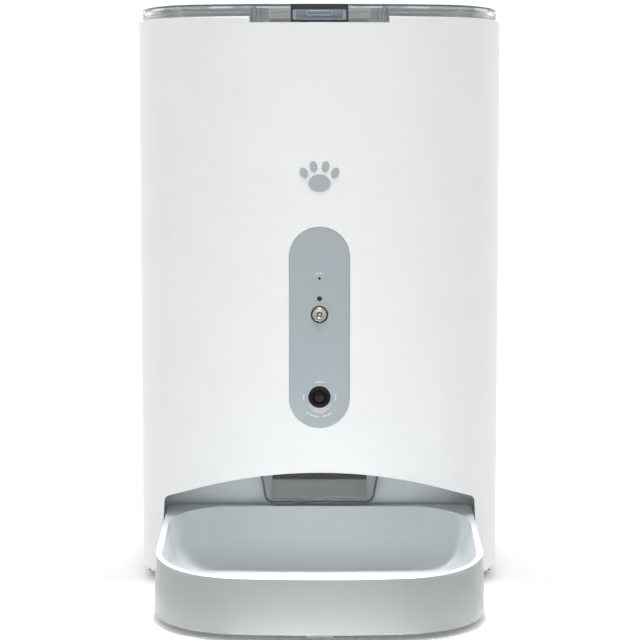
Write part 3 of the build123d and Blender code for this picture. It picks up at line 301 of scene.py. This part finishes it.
def painted_shade_bowl_material():
    """The bowl's glossy grey, with painted shade: the outward-facing skirt is painted darker than the rim
    and the basin.
    """
    material = surface("bowl_grey", (0.62, 0.66, 0.67), rough=0.2, grain=0.05, mottle_size=0.05,
                       rough_range=0.03)
    facing = material.node_tree.nodes.new("ShaderNodeNewGeometry")
    level = offset_from(material, "bowl", keep=(1, 1, 0))
    outwards = add_step(material, VECTOR_STEP, "NORMALIZE", level)["Vector"]
    turned = add_step(material, VECTOR_STEP, "DOT_PRODUCT", facing.outputs["Normal"], outwards)["Value"]
    # painted shade on the faces that look outwards, the skirt
    fade_to(material, turned, *SKIRT_SHADE_FACING, SKIRT_PAINTED_SHADE)
    return material


def painted_shadow_chute_material():
    """Warm grey on the chute's lip, with a near-black painted shadow from its throat up."""
    material = surface("chute_grey", (0.76, 0.76, 0.72), rough=0.35, grain=0.25)
    nodes, links = material.node_tree.nodes, material.node_tree.links
    place = nodes.new("ShaderNodeTexCoord")
    split = nodes.new("ShaderNodeSeparateXYZ")
    links.new(place.outputs["Object"], split.inputs["Vector"])
    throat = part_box("chute")[0][2] + THROAT_SHADOW_RISE
    # painted shadow: the colour fades to near black from the throat up
    fade_to(material, split.outputs["Z"], throat, throat + THROAT_SHADOW_FADE, THROAT_PAINTED_SHADOW)
    return material


def clear(name, colour, rough=0.06, **shader_values):
    """Clear or smoked moulded plastic."""
    values = {"Transmission_Weight": 1.0, "IOR": 1.45, **shader_values}
    return surface(name, colour, rough=rough, mottle=0.01, rough_range=0.02, **values)


def paint(material, *names):
    """Gives a material to CAD nodes."""
    for name in names:
        for slot in frame["nodes"][name].material_slots:
            slot.material = material


def paint_body():
    """The shell, the panel and badge on it, and the white boxes inside."""
    white = surface("white_abs", (0.845, 0.855, 0.855), rough=0.36, grain=0.3, grain_size=0.0009)
    inner_white = surface("inner_white", (0.76, 0.77, 0.77), rough=0.5, grain=0.3)
    paint(white, "outer_shell", "service_panel")
    paint(inner_white, "desiccant_box", "desiccant_cap", "feed_deck", "outlet_baffle", "battery_box")
    paint(surface("cup_white", (0.93, 0.93, 0.93), rough=0.35, mottle_size=0.006), "camera_cup")
    paint(surface("panel_grey", (0.36, 0.405, 0.425), rough=0.4, grain=0.3), "control_panel")
    paint(surface("badge_grey", (0.40, 0.43, 0.45), rough=0.4, mottle_size=0.01), "paw_badge")


def paint_foot():
    """The bowl, its bay and chute, and the base."""
    paint(painted_shade_bowl_material(), "bowl")
    paint(surface("foot_grey", (0.40, 0.43, 0.425), rough=0.6, grain=0.3), "bowl_feet")
    paint(surface("bay_grey", (0.62, 0.65, 0.65), rough=0.35, grain=0.25), "bowl_bay")
    paint(painted_shadow_chute_material(), "chute")
    paint(surface("base_dark", (0.10, 0.105, 0.11), rough=0.55, grain=0.6), "base_plate", "battery_door")
    paint(surface("foot_rubber", (0.03, 0.03, 0.032), rough=0.75, grain=0.6), "body_feet")


def paint_clear_parts():
    """The lid with its seal and latch, the hopper and the flap."""
    paint(clear("smoked_clear", (0.97, 0.99, 1.0)), "lid")
    paint(clear("hopper_smoke", (0.90, 0.93, 0.95), rough=0.15), "hopper")
    paint(clear("flap_smoke", (0.93, 0.93, 0.93), rough=0.05), "flap")
    paint(surface("seal_silicone", (0.82, 0.85, 0.88), rough=0.6, grain=0.2), "lid_seal")
    paint(surface("latch_dark", (0.035, 0.04, 0.048), rough=0.2, grain=0.1), "latch_frame")
    paint(surface("latch_push", (0.21, 0.25, 0.29), rough=0.35, grain=0.5), "latch_button")


def paint_controls():
    """The small parts on the control panel, and the other black mouldings."""
    black = surface("black_moulded", (0.010, 0.010, 0.011), rough=0.4, grain=0.3, mottle_size=0.004)
    paint(black, "microphone", "button_bezel", "button_switch", "encoder_sensor", "power_inlet")
    cloth = surface("speaker_cloth", (0.016, 0.016, 0.017), rough=0.9, grain=1.0, grain_size=0.0004)
    paint(cloth, "speaker")
    barrel = surface("barrel_black", (0.006, 0.006, 0.007), rough=0.32, mottle_size=0.003,
                     Specular_IOR_Level=0.25)
    paint(barrel, "camera_barrel")
    paint(surface("light_window", (0.006, 0.006, 0.007), rough=0.12, mottle_size=0.002), "status_light")
    glass = surface("lens_glass", (0.008, 0.006, 0.006), rough=0.03, rough_range=0.01, Coat_Weight=0.6,
                    Coat_Roughness=0.02, Coat_Tint=(0.75, 0.8, 1.0, 1))
    paint(glass, "camera_lens")
    paint(turned_metal("button_metal", (0.62, 0.59, 0.52), "feed_button"), "feed_button")


def paint_works():
    """Metal parts, boards, gears, cells and wires, mostly out of sight."""
    steel = surface("steel", (0.58, 0.58, 0.59), rough=0.3, mottle=0.05, mottle_size=0.008, Metallic=1.0)
    paint(steel, "hinge_pins", "compound_pin", "motor_shaft", "output_shaft", "flap_pin", "latch_spring",
          "battery_contacts", "drive_motor", "cover_screws")
    paint(surface("board_green", (0.01, 0.11, 0.04), rough=0.35, mottle=0.15, mottle_size=0.004),
          "button_board", "camera_board", "main_board")
    paint(surface("rotor_grey", (0.36, 0.38, 0.39), rough=0.5, grain=0.3), "portion_rotor", "agitator")
    paint(surface("acetal", (0.78, 0.77, 0.70), rough=0.4, grain=0.2), "output_gear", "compound_gear",
          "motor_pinion", "encoder_disc")
    paint(surface("gearbox_grey", (0.16, 0.165, 0.17), rough=0.5, grain=0.4),
          "gearbox_lower", "gearbox_upper")
    paint(surface("cell_jacket", (0.03, 0.04, 0.06), rough=0.3, mottle=0.1), "battery_cells")
    paint(surface("wire_red", (0.35, 0.02, 0.015), rough=0.45, mottle=0.06, mottle_size=0.004), "wires")


def paint_nodes():
    """Every CAD node's material."""
    paint_body()
    paint_foot()
    paint_clear_parts()
    paint_controls()
    paint_works()


# ------------------------------------------------------------------ mesh helpers
INK_LIFT = 0.06 * MM
INK_SINK = 0.04 * MM
WELD = 1e-7


def add_piece(name, mesh, material, body):
    """A detail piece that rides with a body and takes a material slot."""
    piece = bpy.data.objects.new(name, mesh)
    bpy.context.collection.objects.link(piece)
    piece.data.materials.append(material)
    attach(piece, body)
    return piece


def finished(name, form):
    """A mesh from a bmesh, with its faces turned outwards."""
    bmesh.ops.recalc_face_normals(form, faces=form.faces)
    mesh = bpy.data.meshes.new(name)
    form.to_mesh(mesh)
    form.free()
    return mesh


def marks_mesh(name, outlines):
    """Thin closed slabs that follow the bowed front face; each outline is a list of (x, z)."""
    form = bmesh.new()
    for outline in outlines:
        outer = [form.verts.new((x, front_at(x) + PANEL_SINK - INK_LIFT, z)) for x, z in outline]
        inner = [form.verts.new((x, front_at(x) + PANEL_SINK + INK_SINK, z)) for x, z in outline]
        form.faces.new(outer)
        form.faces.new(list(reversed(inner)))
        count = len(outline)
        for i in range(count):
            j = (i + 1) % count
            form.faces.new((outer[j], outer[i], inner[i], inner[j]))
    return finished(name, form)


def arc_outline(centre, inner, outer, first, last, steps=8):
    """A short curved bar: part of a ring about `centre`, from one angle to another in degrees."""
    angles = [math.radians(first + (last - first) * i / steps) for i in range(steps + 1)]
    rim = [(centre[0] + outer * math.cos(a), centre[1] + outer * math.sin(a)) for a in angles]
    rim += [(centre[0] + inner * math.cos(a), centre[1] + inner * math.sin(a)) for a in reversed(angles)]
    return rim


def lathe(name, centre, profile, steps=64):
    """A ring turned about a front-to-back axis from (radius, depth) points; depth is measured forwards."""
    form = bmesh.new()
    rows = []
    for i in range(steps):
        angle = 2 * math.pi * i / steps
        across, up = math.cos(angle), math.sin(angle)
        rows.append([
            form.verts.new((centre[0] + r * across, centre[1] - depth, centre[2] + r * up))
            for r, depth in profile
        ])
    count = len(profile)
    for i in range(steps):
        here, there = rows[i], rows[(i + 1) % steps]
        for j in range(count):
            k = (j + 1) % count
            form.faces.new((here[j], there[j], there[k], here[k]))
    bmesh.ops.remove_doubles(form, verts=form.verts, dist=WELD)
    for face in form.faces:
        face.smooth = True
    return finished(name, form)


def add_turned(name, node, profile, material, body):
    """A turned piece on a node's front face; its profile is in millimetres."""
    centre = middle(node)
    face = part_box(node)[0][1]
    points = [(radius * MM, depth * MM) for radius, depth in profile]
    return add_piece(name, lathe(name, (centre.x, face, centre.z), points), material, body)


def tube(name, points, radius, closed=False):
    """A round bead of one thickness along a polyline."""
    curve = bpy.data.curves.new(name, "CURVE")
    curve.dimensions = "3D"
    curve.bevel_depth = radius
    curve.bevel_resolution = 3
    curve.use_fill_caps = not closed
    spline = curve.splines.new("POLY")
    spline.points.add(len(points) - 1)
    for point, place in zip(spline.points, points):
        point.co = (*place, 1)
    spline.use_cyclic_u = closed
    return curve


def add_bead(name, points, radius, material, body, closed=False):
    """A bead as a detail piece."""
    return add_piece(name, tube(name, points, radius, closed), material, body)


def rounded(points, radius, steps=8):
    """Rounds the inner corners of an open polyline."""
    out = [Vector(points[0])]
    for before, corner, after in zip(points, points[1:], points[2:]):
        corner = Vector(corner)
        to_a = (Vector(before) - corner).normalized()
        to_b = (Vector(after) - corner).normalized()
        angle = to_a.angle(to_b)
        reach = radius / math.tan(angle / 2)
        centre = corner + (to_a + to_b).normalized() * (radius / math.sin(angle / 2))
        start, stop = corner + to_a * reach, corner + to_b * reach
        for i in range(steps + 1):
            arm = (start - centre).lerp(stop - centre, i / steps)
            out.append(centre + arm.normalized() * radius)
    out.append(Vector(points[-1]))
    return out


# ------------------------------------------------------------------ marks, button and lens
# inner and outer radius in millimetres, then each bar's first and last angle in degrees
MARK_RINGS = (
    (9.3, 10.2, ((74, 83), (85, 95), (97, 106))),
    (9.9, 10.8, ((169, 175), (177, 183), (185, 191), (-11, -5), (-3, 3), (5, 11))),
    (12.3, 13.3, ((230, 238), (240, 252), (254, 268), (281, 292), (294, 306))),
)
MIC_MARKS = 4
MIC_MARK_PITCH = 1.4 * MM
MIC_MARK_RISE = 3.3 * MM  # microphone's middle to the bars'
MIC_MARK_HALF = (0.45 * MM, 0.5 * MM)
# the turned profiles' own values, in millimetres like the profiles
ON_AXIS = 0.001  # leaves a hole too small to see
TURNED_BACK = -0.1  # how far the button's turned pieces reach into it
DOME_R = 3.25
DOME_FRONT = -0.86
DOME_RISE = 0.75
DOME_PLATE = 0.2
DOME_STEP = 9  # degrees


def add_panel_marks():
    """Small printed bars around the camera opening, and a row of them over the microphone."""
    barrel = middle("camera_barrel")
    ink = surface("pale_ink", (0.64, 0.68, 0.69), rough=0.5, mottle=0.06, mottle_size=0.0008)
    outlines = []
    for inner, outer, bars in MARK_RINGS:
        for first, last in bars:
            outlines.append(arc_outline((barrel.x, barrel.z), inner * MM, outer * MM, first, last))
    mic = middle("microphone")
    half_w, half_h = MIC_MARK_HALF
    for i in range(MIC_MARKS):
        x0 = mic.x + (i - (MIC_MARKS - 1) / 2) * MIC_MARK_PITCH
        z0 = mic.z + MIC_MARK_RISE
        outlines.append([(x0 - half_w, z0 - half_h), (x0 + half_w, z0 - half_h),
                         (x0 + half_w, z0 + half_h), (x0 - half_w, z0 + half_h)])
    add_piece("panel_marks", marks_mesh("panel_marks", outlines), ink, "housing")


def add_button_details():
    """The turned face of the feed button: a bevelled rim, a dished land and a small centre boss."""
    metal = turned_metal("button_face", (0.47, 0.45, 0.39), "feed_button", rings=3200)
    groove = surface("button_groove", (0.10, 0.09, 0.075), rough=0.35, mottle_size=0.002, Metallic=0.6)
    back = TURNED_BACK
    land = [(4.35, back), (4.3, 0.10), (4.1, 0.16), (3.7, 0.14), (3.5, 0.06), (1.75, 0.05), (1.75, back)]
    ring = [(1.75, back), (1.75, 0.045), (1.0, 0.045), (1.0, back)]
    boss = [(0.98, back), (0.98, 0.08), (0.8, 0.16), (ON_AXIS, 0.17), (ON_AXIS, back)]
    for name, profile, material in (
        ("button_face", land, metal),
        ("button_groove", ring, groove),
        ("button_boss", boss, metal),
    ):
        add_turned(name, "feed_button", profile, material, "button")


def add_lens_details():
    """Stepped baffle rings in the camera barrel and a dark domed front glass with a faint warm coating."""
    rings = surface("baffle_black", (0.006, 0.0055, 0.0055), rough=0.4, mottle_size=0.002,
                    Specular_IOR_Level=0.18)
    steps = [(7.1, -0.3), (7.1, 0.05), (6.7, 0.16), (6.1, 0.1), (5.85, -0.2), (5.85, -0.55), (5.2, -0.5),
             (4.7, -0.55), (4.55, -0.9), (4.55, -1.2), (3.6, -1.15), (3.6, -1.26), (4.58, -1.26),
             (4.58, -1.1), (4.85, -0.58), (5.88, -0.58), (5.88, -0.3)]
    add_turned("lens_rings", "camera_barrel", steps, rings, "housing")
    glow = surface("lens_coating", (0.012, 0.004, 0.0035), rough=0.16, mottle=0.3, mottle_size=0.0015,
                   Specular_IOR_Level=0.25, Coat_Weight=0.25, Coat_Roughness=0.03,
                   Coat_Tint=(1.0, 0.7, 0.65, 1))
    angles = [math.radians(a) for a in range(0, 90, DOME_STEP)]
    curve = [(DOME_R * math.cos(a), DOME_FRONT + DOME_RISE * math.sin(a)) for a in angles]
    back = DOME_FRONT - DOME_PLATE
    dome = [(DOME_R, back), *curve, (ON_AXIS, DOME_FRONT + DOME_RISE), (ON_AXIS, back)]
    add_turned("lens_dome", "camera_barrel", dome, glow, "housing")


# ------------------------------------------------------------------ flap, lid and front lip
EDGE_BEAD_R = 0.75 * MM
EDGE_BEAD_INSET = 0.9 * MM
EDGE_BEAD_SINK = 0.5 * MM  # behind the flap's front
EDGE_BEAD_DROP = 6 * MM  # flap's top to the bead's ends
EDGE_BEAD_TURN = 6.2 * MM
BOW_STEPS = 24
CORNER_STEPS = 12
LID_LINE_GAP = 0.3 * MM  # latch to the end of each line
LID_LINE_STOP = 12 * MM  # body's rear to the other end
BAND_SINK = 0.75 * MM
BAND_FOOT = 0.6 * MM
BAND_TOP = 1.6 * MM
BANDS = ((43.0, 0.35), (40.6, 0.55), (37.2, 0.2))  # place and radius, in millimetres
TENTHS = 10000  # tenths of a millimetre in a metre, for names


def add_flap_edge():
    """The dark edge bead of the clear flap: down both sides and along the bottom."""
    low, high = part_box("flap")
    y = low[1] + EDGE_BEAD_SINK
    z_low, z_high = low[2] + EDGE_BEAD_INSET, high[2] - EDGE_BEAD_DROP
    slope = (high[0] - FLAP_LOW_HALF) / (high[2] - FLAP_BARREL_R - low[2])
    x_low = FLAP_LOW_HALF - EDGE_BEAD_INSET
    x_high = high[0] - EDGE_BEAD_INSET - slope * EDGE_BEAD_DROP
    points = [(x_high, y, z_high), (x_low, y, z_low), (-x_low, y, z_low), (-x_high, y, z_high)]
    dark = surface("flap_edge", (0.10, 0.105, 0.11), rough=0.25, mottle_size=0.01)
    add_bead("flap_edge", rounded(points, EDGE_BEAD_TURN), EDGE_BEAD_R, dark, "flap")


def plan_outline(inset, level, y_back, gap):
    """Half the body's plan, `inset` inside it: from `gap` off the middle of the front to the back."""
    side = HALF - inset
    bow_r = BOW_R - inset
    nose_r = CORNER_R - inset
    centre_y = FRONT_Y + BOW_R
    corner_x = side - nose_r
    corner_y = centre_y - math.sqrt((bow_r - nose_r) ** 2 - corner_x**2)
    reach = math.atan2(corner_x, centre_y - corner_y)
    first = math.asin(gap / bow_r)
    points = []
    for i in range(BOW_STEPS + 1):
        angle = first + (reach - first) * i / BOW_STEPS
        points.append((bow_r * math.sin(angle), centre_y - bow_r * math.cos(angle), level))
    for i in range(1, CORNER_STEPS + 1):
        angle = reach + (math.pi / 2 - reach) * i / CORNER_STEPS
        points.append((corner_x + nose_r * math.sin(angle), corner_y - nose_r * math.cos(angle), level))
    points.append((side, y_back, level))
    return points


def mirrored(points):
    """The same run on the other side."""
    return [(-x, y, z) for x, y, z in points]


def add_lid_lines():
    """The dark refracted lines round the lid's rim, broken at the latch."""
    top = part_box("lid")[1][2]
    shade = surface("lid_line", (0.10, 0.125, 0.15), rough=0.2, mottle_size=0.02)
    soft = surface("lid_line_soft", (0.36, 0.45, 0.55), rough=0.2, mottle_size=0.02)
    for tag, level, inset, radius, material in (
        ("rim", top - 0.9 * MM, 2.7 * MM, 0.38 * MM, shade),
        ("shelf", top - 5.3 * MM, 2.75 * MM, 0.26 * MM, soft),
    ):
        run = plan_outline(inset, level, REAR_Y - LID_LINE_STOP, LATCH_HALF + LID_LINE_GAP)
        for side, points in (("right", run), ("left", mirrored(run))):
            add_bead(f"lid_{tag}_{side}", points, radius, material, "lid")


def add_lip_bands():
    """Upright ribs that show dark through the ends of the clear front lip."""
    low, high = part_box("latch_frame")
    shade = surface("lip_band", (0.20, 0.27, 0.34), rough=0.25, mottle_size=0.01)
    for side in (-1, 1):
        for x, radius in BANDS:
            x0 = side * x * MM
            y = front_at(x0) + BAND_SINK
            points = [(x0, y, low[2] + BAND_FOOT), (x0, y, high[2] - BAND_TOP)]
            add_bead(f"lip_band_{int(x0 * TENTHS)}", points, radius * MM, shade, "lid")


# ------------------------------------------------------------------ latch
PUSH_FOOT = 1.5 * MM  # latch frame's lower edge to the foot of the marks
PUSH_HEAD = 0.35 * MM  # push part's top to the head of the marks
PUSH_SINK = 0.02 * MM  # the beads' middle lines behind the push face
RIB_SHARES = (0.14, 0.28, 0.42)  # shares of the marks' height
RIB_INSET = 1.6 * MM
RIB_R = 0.17 * MM
TEETH = 13
TOOTH_INSET = 2.0 * MM
TOOTH_FOOT = 0.4 * MM
TOOTH_R = 0.14 * MM
TOOTH_SHORT = 0.50  # share of the marks' height, under the slot
TOOTH_TALL = 0.86
SLOT_CLEAR = 9.2 * MM  # half the width in which the teeth stay short
SLOT_HALF = 7.1 * MM
SLOT_END_R = 1.35 * MM
SLOT_DROP = 2.25 * MM
SLOT_LINE_R = 0.22 * MM
SLOT_STEPS = 8
BORDER_INSET = 0.5 * MM
BORDER_R = 0.24 * MM
SPRING_WIRE_R = 0.25 * MM
SPRING_TURNS = 4
SPRING_STEPS = 32  # points a turn


def add_latch_bead(name, points, radius, material, closed=False):
    """A bead on the latch's push face."""
    add_bead(name, points, radius, material, "latch", closed)


def add_latch_ribs(half, y, z_low, height, material):
    """Ribs across the push face, and upright teeth that stop short under the slot."""
    for i, share in enumerate(RIB_SHARES):
        z = z_low + height * share
        points = [(-half + RIB_INSET, y, z), (half - RIB_INSET, y, z)]
        add_latch_bead(f"latch_rib_{i}", points, RIB_R, material)
    for i in range(TEETH):
        x = -half + TOOTH_INSET + i * (2 * half - 2 * TOOTH_INSET) / (TEETH - 1)
        share = TOOTH_SHORT if abs(x) < SLOT_CLEAR else TOOTH_TALL
        points = [(x, y, z_low + TOOTH_FOOT), (x, y, z_low + height * share)]
        add_latch_bead(f"latch_tooth_{i}", points, TOOTH_R, material)


def add_latch_slot(y, z_slot, material):
    """The outline of a rounded slot near the top of the push face."""
    outline = []
    for side in (1, -1):
        for i in range(SLOT_STEPS + 1):
            angle = math.pi / 2 - math.pi * i / SLOT_STEPS
            x = side * (SLOT_HALF + SLOT_END_R * math.cos(angle))
            outline.append((x, y, z_slot + side * SLOT_END_R * math.sin(angle)))
    add_latch_bead("latch_slot", outline, SLOT_LINE_R, material, closed=True)


def add_latch_details():
    """Ribs, a rounded slot and a pale inner border on the latch's push face."""
    low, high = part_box("latch_button")
    half = high[0]
    y = low[1] + PUSH_SINK
    z_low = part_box("latch_frame")[0][2] + PUSH_FOOT
    z_high = high[2] - PUSH_HEAD
    dark = surface("latch_rib", (0.055, 0.07, 0.085), rough=0.3, mottle_size=0.004)
    pale = surface("latch_pale", (0.42, 0.48, 0.54), rough=0.25, mottle_size=0.004)
    add_latch_ribs(half, y, z_low, z_high - z_low, dark)
    add_latch_slot(y, high[2] - SLOT_DROP, pale)
    x = half - BORDER_INSET
    border = [(-x, y, z_high), (-x, y, z_low), (x, y, z_low), (x, y, z_high)]
    add_latch_bead("latch_border", border, BORDER_R, pale)


def coil_points(low, high):
    """The middle line of a spring that fills a box, wound about its front-to-back axis."""
    radius = (high[0] - low[0]) / 2 - SPRING_WIRE_R
    x0, z0 = (low[0] + high[0]) / 2, (low[2] + high[2]) / 2
    start, stop = low[1] + SPRING_WIRE_R, high[1] - SPRING_WIRE_R
    count = SPRING_TURNS * SPRING_STEPS
    points = []
    for i in range(count + 1):
        angle = 2 * math.pi * i / SPRING_STEPS
        y = start + (stop - start) * i / count
        points.append((x0 + radius * math.cos(angle), y, z0 + radius * math.sin(angle)))
    return points


def add_latch_spring():
    """The latch's coil spring, riding with the latch spring's body; it stands for the rigid CAD node."""
    low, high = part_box("latch_spring")
    path = tube("latch_coil_path", coil_points(low, high), SPRING_WIRE_R)
    holder = bpy.data.objects.new("latch_coil_path", path)
    bpy.context.collection.objects.link(holder)
    bpy.context.view_layer.update()
    evaluated = holder.evaluated_get(bpy.context.evaluated_depsgraph_get())
    mesh = bpy.data.meshes.new_from_object(evaluated)
    bpy.data.objects.remove(holder)
    wound = surface("spring_wire", (0.62, 0.62, 0.63), rough=0.28, mottle=0.04, mottle_size=0.002,
                    Metallic=1.0)
    bodies = frame["record"]["behaviour"]["bodies"]
    body = next(name for name, nodes in bodies.items() if "latch_spring" in nodes)
    piece = add_piece("latch_coil", mesh, wound, body)
    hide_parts("latch_spring")
    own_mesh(piece)


# ------------------------------------------------------------------ the whole scene
def add_details():
    """Every piece that the CAD leaves to the picture."""
    add_panel_marks()
    add_button_details()
    add_lens_details()
    add_flap_edge()
    add_lid_lines()
    add_lip_bands()
    add_latch_details()
    add_latch_spring()


bpy.context.scene.view_settings.view_transform = "Standard"
add_camera()
add_studio()
paint_nodes()
add_details()
